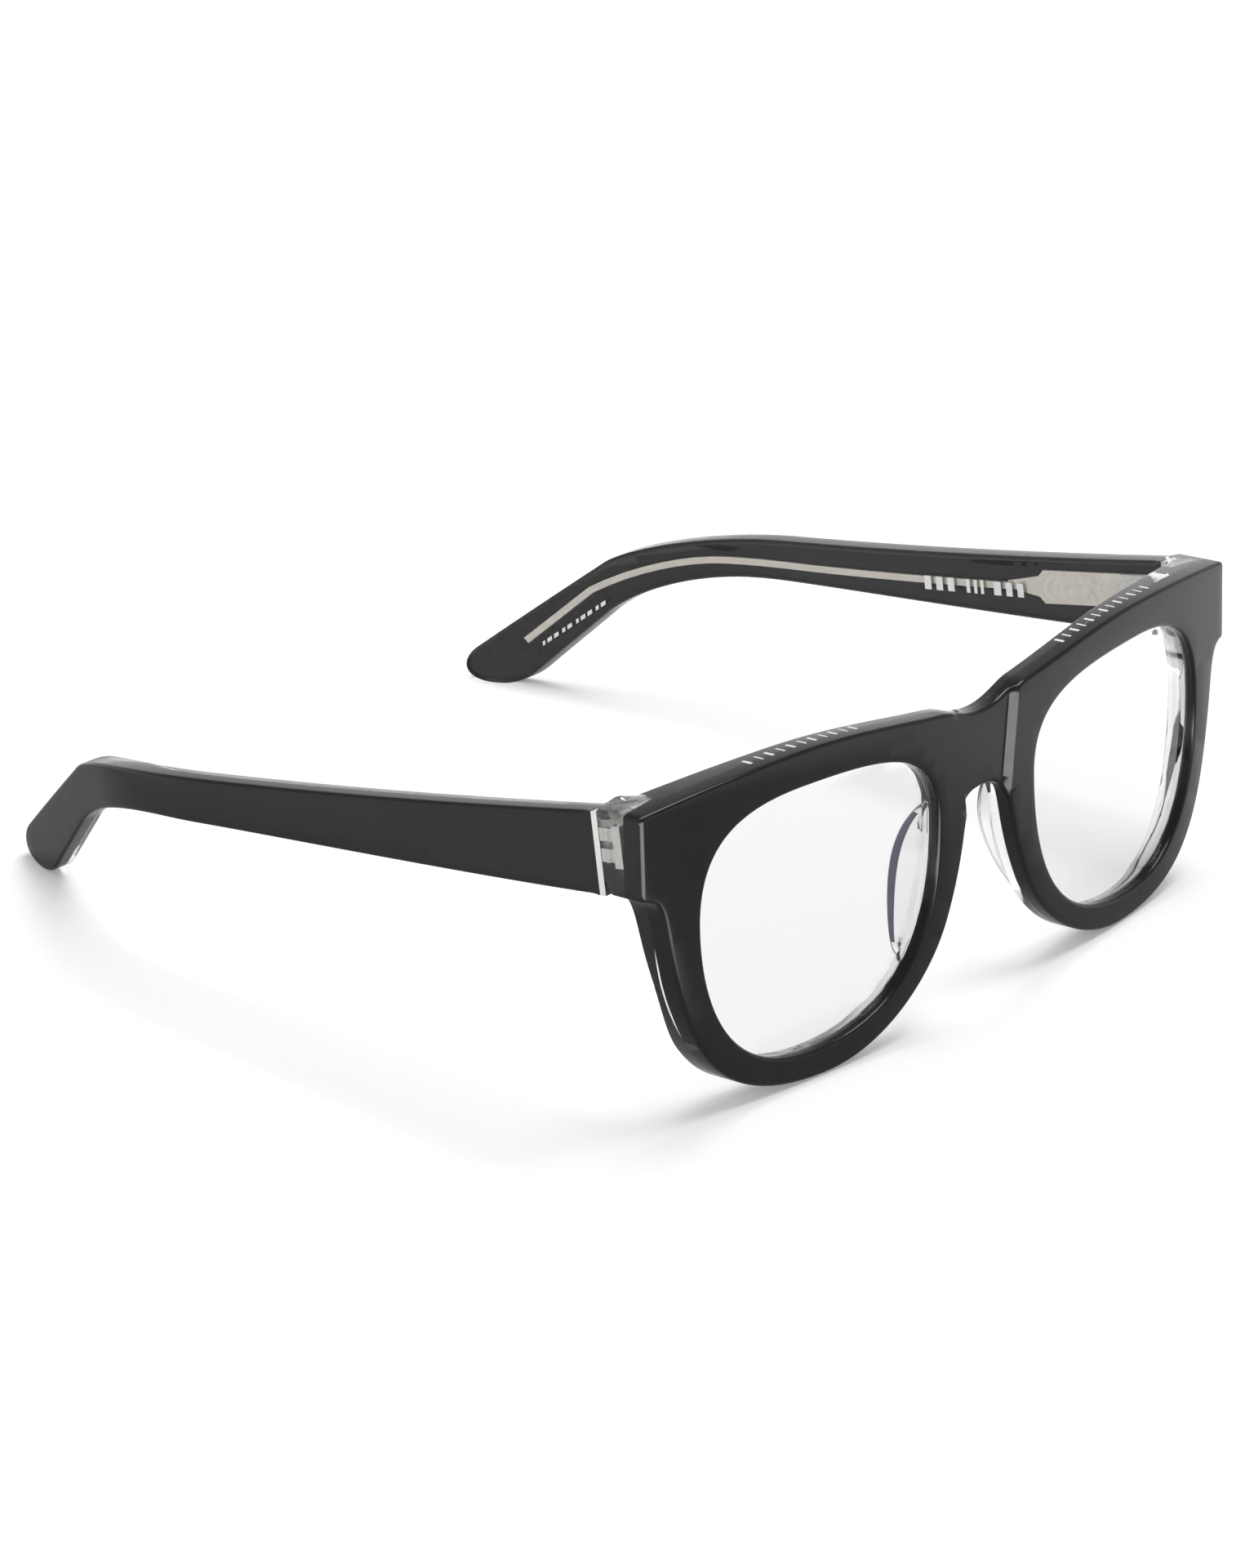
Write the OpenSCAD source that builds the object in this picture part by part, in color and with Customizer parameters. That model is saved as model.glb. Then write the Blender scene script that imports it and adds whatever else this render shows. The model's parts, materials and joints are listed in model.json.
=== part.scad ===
// Laminated acetate eyeglasses: a black layer over a clear crystal layer, wire-core temples
// and screwed barrel hinges. Millimetres. +Z is up and the glasses rest on z = 0 as they do
// on a table: on the two rims and the two temple tips. The front faces -Y, x = 0 is the middle
// of the bridge, y = 0 is the middle of the depth, and the wearer's right side is at -X.

/* [Lens openings] */
// Width of one lens opening
lens_w = 48.2; // [46:0.2:50]
// Height of one lens opening
lens_h = 39.4; // [37:0.2:41]
// Distance between the two lens openings
lens_gap = 23.4; // [22:0.2:26]
// Height of the middle of the lens openings above the front's own zero line
lens_mid = -0.9; // [-1.5:0.1:-0.3]

/* [Front] */
// Rim above the lens opening
rim_top = 5.3; // [4.8:0.1:6]
// Rim below the lens opening
rim_bottom = 4; // [3.6:0.1:5]
// Rim beside the lens opening, on the temple side
rim_side = 5.6; // [4.8:0.1:6]
// Length of the end piece beyond the rim
end_reach = 4.7; // [4.4:0.1:5]
// Top of the end piece
end_top = 22.2; // [21.9:0.1:22.6]
// Top of the bridge at its middle
bridge_top = 19.1; // [18.5:0.1:20]
// Underside of the bridge at its middle
bridge_low = 7.7; // [7:0.1:8.5]
// Radius of the front face, seen from above
face_r = 370; // [350:5:400]
// Radius of the seam between the black and the crystal layer
seam_r = 345; // [335:5:355]
// Radius of the back face
back_r = 258; // [252:2:266]
// Thickness of the black layer at the bridge
black_t = 2.5; // [2.4:0.05:2.6]
// Thickness of both layers at the bridge
front_t = 4.2; // [4.1:0.05:4.5]
// Depth of the sunk face of the bridge
bridge_sink = 1; // [0.6:0.1:1.3]

/* [Lenses and nose pads] */
// Thickness of a lens
lens_t = 1.8; // [1.6:0.1:2]
// Depth of the groove that holds the lens edge
groove = 0.6; // [0.5:0.05:0.8]
// Distance that a nose pad stands back, measured from the bridge's front
pad_back = 9.5; // [8.5:0.1:10.5]
// Width of a nose pad at its foot
pad_w = 2.8; // [2.4:0.1:3.2]
// Outward flare of the nose pads, in degrees
pad_flare = 27; // [22:1:32]

/* [Temples] */
// Height of the temple at the hinge
temple_h = 12; // [11.6:0.1:12.4]
// Thickness of the temple's black layer
temple_black = 2.4; // [2.2:0.1:2.6]
// Thickness of the temple's crystal layer
temple_clear = 1.8; // [1.7:0.05:1.9]
// Outward splay of the straight part of the temple, in degrees
temple_splay = 1; // [0:0.1:1.5]
// Length of the straight part of the temple
temple_run = 75; // [72:1:80]
// Radius of the temple's inward bend
bend_r = 60; // [55:1:65]
// Inward angle of the temple's end, in degrees
tip_in = 22.5; // [21:0.5:26]
// Height of the core wire
wire_h = 1.1; // [0.9:0.1:1.3]
// Length of the shield plate that joins the core wire to the hinge
shield_len = 25; // [22:1:27]
// Height of the shield plate
shield_h = 5.3; // [5:0.1:5.6]

/* [Hinges] */
// Radius of the hinge barrels
barrel_r = 1.35; // [1.25:0.05:1.4]
// Height of each of the two barrels on the front
barrel_h = 1.85; // [1.6:0.05:2]
// Height of the barrel on the temple
knuckle_h = 1; // [0.9:0.05:1.2]
// Radius of the hinge screw
screw_r = 0.6; // [0.5:0.05:0.65]
// Slope of the temple's middle line against the front, in degrees
temple_drop = 6.2; // [5.8:0.1:6.6]

/* [Hidden] */

black = "#17171a";
crystal = "#dfe6ea";
lens_tint = "#eef4f4";
steel = "#c9c6bf";
big_fn = 720;       // facets of the wide, shallow cylinders
round_fn = 64;      // facets of barrels and screws
eps = 0.02;         // fitting gap around buried parts
wide = 200;         // larger than the whole front

// Resting attitude: the front leans back so that rims and tips touch the table together.
// The zero point is in the middle of the glasses' depth.
lean = 3.25;
half_depth = 70.47;
rest_height = 24.82 + (rim_bottom - 4);

// Outline numbers that follow from the openings.
lens_x = (lens_gap + lens_w) / 2;
rim_low = lens_mid - lens_h / 2 - rim_bottom;
rim_high = lens_mid + lens_h / 2 + rim_top;
side_x = lens_x + lens_w / 2 + rim_side;
end_x = side_x + end_reach;
end_low = 9.9;
end_corner = 0.6;

// Temple frame: its zero is in the butt joint at the temple's middle height.
butt_y = 13.8;
butt_z = end_top - 6.25;
temple_up = temple_h / 2 - 0.2;
temple_down = temple_h / 2 + 0.2;
temple_t = temple_black + temple_clear;
inner_x = end_x - temple_t;
axis_x = inner_x - 1.7;
axis_y = 2;
hinge_z = 0.75;
end_plate_t = 1;
joint_gap = 0.05;
stack_h = 2 * barrel_h + knuckle_h + 2 * joint_gap;

// ---- curves ----
function bezier(p, n) = [for (i = [0 : n - 1]) let (t = i / n, u = 1 - t)
    u * u * u * p[0] + 3 * u * u * t * p[1] + 3 * u * t * t * p[2] + t * t * t * p[3]];

function mirrored(pts) = [for (i = [len(pts) - 1 : -1 : 0]) [-pts[i][0], pts[i][1]]];

// Opening of the wearer's left lens, grown outwards by g. Four quarter curves meet at its
// outermost, top, nose-side and lowest points.
function opening(g) =
    let (
        w = lens_w / 2,
        h = lens_h / 2,
        out = [w, 0.22 * h],
        top = [0.17 * w, h],
        nose = [-w, 0.37 * h],
        low = [0.1 * w, -h],
        ring = concat(
            bezier([out, out + [0, 0.63 * h], top + [0.5 * w, 0], top], 16),
            bezier([top, top - [0.76 * w, 0], nose + [0, 0.53 * h], nose], 16),
            bezier([nose, nose - [0, 0.45 * h], low - [1.03 * w, 0], low], 16),
            bezier([low, low + [0.8 * w, 0], out - [0, 0.42 * h], out], 16)
        )
    )
    [for (p = ring) [lens_x, lens_mid] + p * (1 + g / norm(p))];

// Left half of the front's outline, from the bridge top round to the underside of the bridge.
function half_front() =
    let (
        brow = [9.9, bridge_top + 2.2],
        crest = [lens_x + 0.17 * lens_w / 2, rim_high],
        shoulder = [end_x - end_corner, end_top],
        armpit = [end_x - end_corner, end_low],
        flank = [side_x - 0.4, lens_mid + 0.65],
        low = [lens_x + 0.5, rim_low],
        cheek = [lens_gap / 2 - 1.75, rim_low / 2 + 2.5],
        under = [0, bridge_low]
    )
    concat(
        bezier([[0, bridge_top], [4.5, bridge_top], brow - [3, 0.4], brow], 7),
        bezier([brow, brow + [8.5, 1], crest - [11, 0], crest], 9),
        bezier([crest, crest + [10, 0], shoulder + [-9, 1.1], shoulder], 9),
        [[end_x, end_top - end_corner], [end_x, end_low + end_corner]],
        bezier([armpit, armpit - [3.4, 0.2], flank + [1.25, 5.9], flank], 8),
        bezier([flank, flank - [3.1, 14.6], low + [21, 0], low], 18),
        bezier([low, low - [12.3, 0], cheek + [3.75, -7.3], cheek], 12),
        bezier([cheek, cheek + [-6.7, 13.2], under + [7.5, 0], under], 12)
    );

// Whole outline. The two middle points lie on both halves, so one copy of each is dropped.
function front_outline() =
    let (half = half_front(), back_half = mirrored(half))
    concat(half, [[0, bridge_low]], [for (i = [0 : len(back_half) - 2]) back_half[i]]);

// Side view of the temple in its own frame: y along the temple, z up.
function temple_side() = concat(
    bezier([[0, temple_up], [22, temple_up - 1.1], [48, 3.8], [75, 3.85]], 10),
    bezier([[75, 3.85], [87, 3.95], [101, 3.4], [107, 0.6]], 10),
    bezier([[107, 0.6], [114.4, -3.9], [121.9, -8.5], [129.3, -13.2]], 3),
    bezier([[129.3, -13.2], [132.6, -15.3], [132.2, -19.2], [126, -19.6]], 10),
    bezier([[126, -19.6], [123.2, -19.8], [121.4, -18.8], [119.8, -17.5]], 5),
    bezier([[119.8, -17.5], [115.6, -14.2], [111.6, -11.2], [107.5, -8]], 3),
    bezier([[107.5, -8], [102.5, -4.6], [95, -2.6], [84, -2.6]], 10),
    bezier([[84, -2.6], [70, -2.8], [32, 0.7 - temple_down], [0, -temple_down]], 10),
    [[0, -temple_down]]
);

// Middle line of the core wire in the temple's side view.
function wire_path() = concat(
    bezier([[shield_len + 5, -0.3], [50, -0.6], [70, -0.6], [87, 0.2]], 6),
    bezier([[87, 0.2], [95, 0.5], [103, -1], [110, -4.2]], 8),
    [[110, -4.2], [121.3, -12.4]]
);

// ---- frames ----
module standing() {
    translate([0, -half_depth, rest_height]) rotate([-lean, 0, 0]) children();
}

module at_temple() {
    standing() translate([0, butt_y, butt_z]) rotate([-temple_drop, 0, 0]) children();
}

// Parts are drawn on the wearer's left, at +X. The right side is their mirror image.
module right() {
    mirror([1, 0, 0]) children();
}

// Everything below the table, cut away to leave the small flats the glasses rest on.
module table() {
    translate([-wide / 2, -wide / 2, -10]) cube([wide, wide, 10]);
}

// A flat shape in the front's plane, made solid from y = from to y = to.
module across(from, to) {
    translate([0, to, 0]) rotate([90, 0, 0]) linear_extrude(to - from) children();
}

// Everything behind a shallow cylinder whose front-most line is at y = y0.
module behind(y0, r) {
    translate([0, y0 + r, -wide / 4]) cylinder(h = wide / 2, r = r, $fn = big_fn);
}

// ---- front ----
// The sunk face of the bridge lies between two slanted creases with 45 degree walls.
module bridge_recess() {
    crease_slope = 8.2;
    crease_x = 6;
    crease_z = 12.7;
    intersection_for (s = [-1, 1])
        translate([s * crease_x, 0, crease_z]) rotate([0, s * crease_slope, 0])
            translate([0, 0, -15]) linear_extrude(30)
                polygon([[s, -1], [-s * bridge_sink, bridge_sink],
                    [-s * 20, bridge_sink], [-s * 20, -1]]);
}

module groove_band(g, from, to) {
    intersection() {
        across(-1, 20) polygon(opening(g));
        difference() {
            behind(from, face_r - from);
            behind(to, face_r - to);
        }
    }
}

// Both grooves for the lens edges.
module lens_grooves() {
    for (m = [0, 1]) mirror([m, 0, 0]) groove_band(groove, lens_from - eps, lens_from + lens_t + eps);
}

lens_from = 1.4;    // depth of the lens behind the front face

module both_openings() {
    for (m = [0, 1]) mirror([m, 0, 0]) across(-1, 20) polygon(opening(0));
}

module front_black_layer() {
    color(black) difference() {
        standing() difference() {
            intersection() {
                across(-1, 20) polygon(front_outline());
                difference() {
                    behind(0, face_r);
                    behind(black_t, seam_r);
                }
            }
            both_openings();
            lens_grooves();
            bridge_recess();
        }
        table();
    }
}

// Plane of the butt joint: everything in front of the temple's end.
module before_butt() {
    translate([0, butt_y, butt_z]) rotate([-temple_drop, 0, 0])
        translate([-wide / 2, -wide, -wide / 2]) cube([wide, wide - joint_gap, wide]);
}

// Outer blocks of the end pieces, where the layer is thick enough to meet the temple.
module end_blocks() {
    for (m = [0, 1]) mirror([m, 0, 0]) translate([inner_x - 0.1, 0, 0]) cube([20, 20, 40]);
}

module crystal_body() {
    intersection() {
        across(-1, 20) polygon(front_outline());
        difference() {
            behind(black_t, seam_r);
            difference() {
                behind(front_t, back_r);
                end_blocks();
            }
        }
        before_butt();
    }
}

module front_crystal_layer() {
    color(crystal) difference() {
        standing() difference() {
            crystal_body();
            both_openings();
            lens_grooves();
        }
        for (m = [0, 1]) mirror([m, 0, 0]) at_temple() anchor(eps);
        table();
    }
}

module lens() {
    color(lens_tint) standing() groove_band(groove - eps, lens_from, lens_from + lens_t);
}

module nose_pad() {
    foot_y = 4.3;
    root_x = 8;
    ridge_r = 15.3;
    ridge_z = -4.9;
    medial = concat(
        bezier([[7.4, 7], [5, 0.5], [6.6, -8.5], [16, -17]], 14),
        [[16, -17]]
    );
    lateral = [for (i = [len(medial) - 1 : -1 : 0]) medial[i] + [pad_w, 0]];
    color(crystal) standing() intersection() {
        translate([root_x, foot_y, 0]) rotate([0, 0, -pad_flare]) translate([-root_x, -foot_y, 0])
            across(-1, 14) polygon(concat(medial, lateral));
        translate([0, pad_back - ridge_r, ridge_z]) rotate([0, 90, 0])
            cylinder(h = 60, r = ridge_r, $fn = 180);
        behind(front_t, back_r);
    }
}

// ---- hinges, in the temple frame ----
anchor_t = 1.4;     // thickness of the anchor plate buried in the front
anchor_y = -3.3;    // its front side
anchor_h = 6;
neck_w = 5.2;
neck_len = 1.85;

// One block per barrel: the heights of the front's two barrels.
function barrel_floor(k) = hinge_z - stack_h / 2 + k * (barrel_h + knuckle_h + 2 * joint_gap);

// The part of the front hinge that is buried in the crystal layer, grown by g.
module anchor(g) {
    translate([axis_x - 2.1 - g, anchor_y - g, hinge_z - anchor_h / 2 - g])
        cube([7.1 + 2 * g, anchor_t + 2 * g, anchor_h + 2 * g]);
    for (k = [0, 1])
        translate([axis_x - 1.2 - g, anchor_y + anchor_t - g, barrel_floor(k) - g])
            cube([neck_w + 2 * g, neck_len + 2 * g, barrel_h + 2 * g]);
}

module front_hinge() {
    bore_r = screw_r + 0.03;
    arm_y = anchor_y + anchor_t;
    color(steel) at_temple() difference() {
        union() {
            anchor(0);
            for (k = [0, 1]) {
                translate([axis_x - 1.2, arm_y, barrel_floor(k)])
                    cube([2.4, axis_y - arm_y, barrel_h]);
                translate([axis_x, axis_y, barrel_floor(k)])
                    cylinder(h = barrel_h, r = barrel_r, $fn = round_fn);
            }
        }
        translate([axis_x, axis_y, barrel_floor(0) - 1])
            cylinder(h = stack_h + 2, r = bore_r, $fn = round_fn);
        translate([axis_x, axis_y, barrel_floor(1) + barrel_h - head_h - eps])
            cylinder(h = 1, r = head_r + 0.03, $fn = round_fn);
    }
}

head_r = 1;
head_h = 0.5;

module hinge_screw() {
    slot_w = 0.3;
    slot_d = 0.2;
    top = barrel_floor(1) + barrel_h;
    color(steel) at_temple() translate([axis_x, axis_y, 0]) difference() {
        union() {
            translate([0, 0, barrel_floor(0)])
                cylinder(h = top - head_h - barrel_floor(0), r = screw_r, $fn = round_fn);
            translate([0, 0, top - head_h]) cylinder(h = head_h, r = head_r, $fn = round_fn);
        }
        translate([-head_r - 1, -slot_w / 2, top - slot_d]) cube([2 * head_r + 2, slot_w, 1]);
    }
}

seat_t = 0.4;       // thickness of the temple hinge's seat on the shield
seat_h = 4.8;
seat_end = 9;
shield_t = 1.1;
knuckle_floor = hinge_z - knuckle_h / 2;

// Neck and seat of the temple hinge, let into the crystal layer, grown by g. The seat lies
// against the shield plate and follows the temple's inward lean.
module hinge_seat(g) {
    depth = temple_black + shield_t;
    seat_start = end_plate_t + eps;
    neck_y = end_plate_t + joint_gap;
    intersection() {
        translate([0, seat_start - g, hinge_z - seat_h / 2 - g])
            cube([wide, seat_end - seat_start + 2 * g, seat_h + 2 * g]);
        temple_plan(depth + eps - g, depth + seat_t + g);
    }
    translate([axis_x - g, neck_y - g, knuckle_floor - g])
        cube([end_x - depth - seat_t / 2 - axis_x + g, 2 * (axis_y - neck_y) + 2 * g, knuckle_h + 2 * g]);
}

module temple_hinge() {
    color(steel) at_temple() difference() {
        union() {
            hinge_seat(0);
            translate([axis_x, axis_y, knuckle_floor])
                cylinder(h = knuckle_h, r = barrel_r, $fn = round_fn);
        }
        translate([axis_x, axis_y, knuckle_floor - 1])
            cylinder(h = knuckle_h + 2, r = screw_r + 0.05, $fn = round_fn);
    }
}

// ---- temples ----
// The temple seen from above, between depths d0 and d1 under its outer face: a straight run
// that splays outwards, a bend, and a straight end that leans inwards.
module temple_plan(d0, d1) {
    steps = 12;
    tail = 60;
    centre = [
        end_x + temple_run * tan(temple_splay) - bend_r * cos(temple_splay),
        temple_run + bend_r * sin(temple_splay)
    ];
    function arc(d) = [for (i = [0 : steps]) let (a = -temple_splay + i * (tip_in + temple_splay) / steps)
        centre + (bend_r - d) * [cos(a), sin(a)]];
    function edge(d) = concat(
        [[end_x - d / cos(temple_splay), 0]],
        arc(d),
        [centre + (bend_r - d) * [cos(tip_in), sin(tip_in)] + tail * [-sin(tip_in), cos(tip_in)]]
    );
    outer = edge(d0);
    inner = edge(d1);
    translate([0, 0, -40]) linear_extrude(60)
        polygon(concat(outer, [for (i = [len(inner) - 1 : -1 : 0]) inner[i]]));
}

// A flat shape in the temple's side view, made solid across its thickness.
module temple_wall() {
    translate([20, 0, 0]) rotate([90, 0, 90]) linear_extrude(80) children();
}

module behind_end_plate() {
    translate([0, end_plate_t, -50]) cube([100, 200, 100]);
}

module temple_layer(d0, d1) {
    intersection() {
        temple_wall() polygon(temple_side());
        temple_plan(d0, d1);
        behind_end_plate();
    }
}

module temple_black_layer() {
    color(black) difference() {
        at_temple() temple_layer(0, temple_black);
        table();
    }
}

// Shield plate, its tapered neck and the core wire in side view, grown by g.
module core_side(g) {
    h = shield_h / 2 + g;
    w = wire_h / 2 + g;
    start = end_plate_t + eps - g;
    polygon([[start, -h + hinge_z], [start, h + hinge_z], [shield_len - 1, h], [shield_len, h - 1],
        [shield_len + 6, w], [shield_len + 6, -w], [shield_len, -h + 1], [shield_len - 1, -h]]);
    path = wire_path();
    last = len(path) - 1;
    dirs = [for (i = [0 : last]) let (d = path[min(i + 1, last)] - path[max(i - 1, 0)]) d / norm(d)];
    polygon(concat(
        [for (i = [0 : last]) path[i] + w * [-dirs[i][1], dirs[i][0]]],
        [for (i = [last : -1 : 0]) path[i] - w * [-dirs[i][1], dirs[i][0]]]
    ));
}

module core(g) {
    intersection() {
        temple_wall() core_side(g);
        temple_plan(temple_black - g, temple_black + shield_t + g);
    }
}

module core_wire() {
    color(steel) at_temple() core(0);
}

module temple_crystal_layer() {
    color(crystal) difference() {
        at_temple() difference() {
            temple_layer(temple_black, temple_t);
            core(eps);
            hinge_seat(eps);
        }
        table();
    }
}

// Metal plate across the whole end of the temple.
module temple_end_plate() {
    color(steel) at_temple() intersection() {
        temple_wall() polygon(temple_side());
        temple_plan(0, temple_t);
        translate([0, 0, -50]) cube([100, end_plate_t - eps, 100]);
    }
}

front_black_layer();
front_crystal_layer();
right() lens();  // right_lens
lens();  // left_lens
right() nose_pad();  // right_nose_pad
nose_pad();  // left_nose_pad
right() front_hinge();  // right_front_hinge
front_hinge();  // left_front_hinge
right() hinge_screw();  // right_hinge_screw
hinge_screw();  // left_hinge_screw
right() temple_hinge();  // right_temple_hinge
temple_hinge();  // left_temple_hinge
right() temple_end_plate();  // right_temple_end_plate
temple_end_plate();  // left_temple_end_plate
right() core_wire();  // right_core_wire
core_wire();  // left_core_wire
right() temple_black_layer();  // right_temple_black_layer
temple_black_layer();  // left_temple_black_layer
right() temple_crystal_layer();  // right_temple_crystal_layer
temple_crystal_layer();  // left_temple_crystal_layer
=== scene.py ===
"""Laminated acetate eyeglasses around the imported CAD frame.

Lengths below are millimetres in the front's own frame (x across, y back, z up the front) or in
the temple's frame (u along the temple, v up it, w inwards from its outer face). Both are set
into the row frame, in metres, from the hinge joints that the record states.
"""
import json
import math

import bmesh
import bpy
import numpy as np
from mathutils import Matrix, Vector
from mathutils.geometry import delaunay_2d_cdt


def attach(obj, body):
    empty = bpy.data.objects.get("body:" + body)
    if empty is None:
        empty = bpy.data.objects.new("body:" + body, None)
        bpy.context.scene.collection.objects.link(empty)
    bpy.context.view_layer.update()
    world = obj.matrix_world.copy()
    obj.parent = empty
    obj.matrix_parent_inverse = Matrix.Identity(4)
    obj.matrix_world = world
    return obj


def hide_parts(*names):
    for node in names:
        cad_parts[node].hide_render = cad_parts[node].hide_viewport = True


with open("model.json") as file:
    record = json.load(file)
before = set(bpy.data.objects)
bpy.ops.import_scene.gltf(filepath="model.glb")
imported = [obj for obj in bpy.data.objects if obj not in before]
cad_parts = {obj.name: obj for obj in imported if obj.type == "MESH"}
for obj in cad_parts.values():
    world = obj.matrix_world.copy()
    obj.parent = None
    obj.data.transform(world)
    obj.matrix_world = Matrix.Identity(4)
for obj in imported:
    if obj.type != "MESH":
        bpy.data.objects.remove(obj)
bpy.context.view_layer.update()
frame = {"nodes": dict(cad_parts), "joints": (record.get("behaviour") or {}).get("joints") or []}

MM = 0.001

# ---- driving dimensions, millimetres and degrees ----
LENS_W, LENS_H = 48.2, 39.4
LENS_GAP = 23.4
LENS_MID = -0.9
RIM_TOP, RIM_BOTTOM, RIM_SIDE = 5.3, 4.0, 5.6
END_REACH = 4.7
END_TOP, END_LOW = 22.2, 9.9
BRIDGE_TOP, BRIDGE_LOW = 19.1, 7.7
FACE_R, SEAM_R, BACK_R = 370.0, 345.0, 258.0
BLACK_T, FRONT_T = 2.5, 4.2
BRIDGE_SINK = 1.0
LENS_DEPTH, LENS_T = 1.4, 1.8
BUTT_Y = 13.8
TEMPLE_UP, TEMPLE_DOWN = 5.8, 6.2
TEMPLE_BLACK, TEMPLE_CLEAR = 2.4, 1.8
TEMPLE_SPLAY, TIP_IN = 1.0, 22.5
TEMPLE_RUN = 75.0
BEND_R = 60.0
LEAN, TEMPLE_DROP = 3.25, 6.2
HINGE_U, HINGE_V = 2.0, 0.75
PLATE_T = 1.0
PAD_FLARE = 27.0
PAD_HEIGHT, PAD_HALF = 5.4, 1.0     # how far a pad's ridge rises and widens from end to middle
FLANK_CUT = 1.2     # the crystal is milled thinner by this on the rims' outer flanks
EDGE_FRONT, EDGE_BACK, EDGE_BUTT = 0.6, 0.35, 0.12
EDGE_TEMPLE, EDGE_TEMPLE_IN, EDGE_LENS = 0.55, 0.7, 0.5
LENS_GROOVE = 0.5   # the lens's edge runs this far into the rim
BURY = 0.02         # the black layer runs this far into the crystal, so no air shows between
INK_SINK, INK_LIFT = 0.02, 0.03     # printed marks start this deep and stand this proud
STEP = 0.5          # spacing of outline points

LENS_X = (LENS_GAP + LENS_W) / 2
SIDE_X = LENS_X + LENS_W / 2 + RIM_SIDE
END_X = SIDE_X + END_REACH
BUTT_Z = END_TOP - 6.25
TEMPLE_T = TEMPLE_BLACK + TEMPLE_CLEAR
AXIS_X = END_X - TEMPLE_T - 1.7


# ---- frames ----
def tilt(point, degrees):
    """Turns a point about X so that its top leans towards +Y."""
    a = math.radians(degrees)
    x, y, z = point
    return np.array([x, y * math.cos(a) + z * math.sin(a), -y * math.sin(a) + z * math.cos(a)])


hinge = next(j for j in frame["joints"] if j["child"] == "left_temple")
pivot = np.array(hinge["pos_m"]) / MM
hinge_in_front = np.array([0, BUTT_Y, BUTT_Z]) + tilt((AXIS_X, HINGE_U, HINGE_V), TEMPLE_DROP)
FRONT_ZERO = pivot - tilt(hinge_in_front, LEAN)


def front_place(x, y, z):
    """A point of the front's own frame, in the row frame's metres."""
    return (FRONT_ZERO + tilt((x, y, z), LEAN)) * MM


def temple_place(side, u, v, w):
    """A point of a temple: u along it, v up it, w inwards from its outer face."""
    splay, tip_in = math.radians(TEMPLE_SPLAY), math.radians(TIP_IN)
    centre_x = END_X + TEMPLE_RUN * math.tan(splay) - BEND_R * math.cos(splay)
    centre_u = TEMPLE_RUN + BEND_R * math.sin(splay)
    reach = BEND_R - w
    bend_end = centre_u + reach * math.sin(tip_in)
    if u < centre_u - reach * math.sin(splay):
        x = END_X + u * math.tan(splay) - w / math.cos(splay)
    elif u < bend_end:
        x = centre_x + math.sqrt(reach ** 2 - (u - centre_u) ** 2)
    else:
        x = centre_x + reach * math.cos(tip_in) - (u - bend_end) * math.tan(tip_in)
    at_front = np.array([0, BUTT_Y, BUTT_Z]) + tilt((x, u, v), TEMPLE_DROP)
    return front_place(side * at_front[0], at_front[1], at_front[2])


# ---- curves ----
def bezier_at(p, t):
    s = 1 - t
    return s ** 3 * p[0] + 3 * s * s * t * p[1] + 3 * s * t * t * p[2] + t ** 3 * p[3]


def bezier_slope(p, t):
    s = 1 - t
    return 3 * (s * s * (p[1] - p[0]) + 2 * s * t * (p[2] - p[1]) + t * t * (p[3] - p[2]))


def bezier(p, n=24):
    """n points along a cubic curve, from its first control point to just short of its last."""
    p = [np.array(q, float) for q in p]
    return [bezier_at(p, i / n) for i in range(n)]


def resample(points, step=STEP):
    """The closed loop through the points, with evenly spaced corners."""
    p = np.array(points)
    closed = np.vstack([p, p[:1]])
    along = np.r_[0, np.cumsum(np.hypot(*np.diff(closed, axis=0).T))]
    count = int(round(along[-1] / step))
    at = np.arange(count) * along[-1] / count
    return np.c_[np.interp(at, along, closed[:, 0]), np.interp(at, along, closed[:, 1])]


def turned(loop, anticlockwise=True):
    """The loop, running the way asked."""
    x, y = loop.T
    area = np.sum(x * np.roll(y, -1) - y * np.roll(x, -1))
    return loop if (area > 0) == anticlockwise else loop[::-1]


def opening(side, grow=0.0):
    """Outline of one lens opening: four quarter curves, as in the CAD source."""
    w, h = LENS_W / 2, LENS_H / 2
    out, top = np.array([w, 0.22 * h]), np.array([0.17 * w, h])
    nose, low = np.array([-w, 0.37 * h]), np.array([0.1 * w, -h])
    ring = (
        bezier([out, out + [0, 0.63 * h], top + [0.5 * w, 0], top])
        + bezier([top, top - [0.76 * w, 0], nose + [0, 0.53 * h], nose])
        + bezier([nose, nose - [0, 0.45 * h], low - [1.03 * w, 0], low])
        + bezier([low, low + [0.8 * w, 0], out - [0, 0.42 * h], out])
    )
    ring = np.array([p * (1 + grow / np.hypot(*p)) for p in ring])
    return resample(ring * [side, 1] + [side * LENS_X, LENS_MID])


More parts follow.
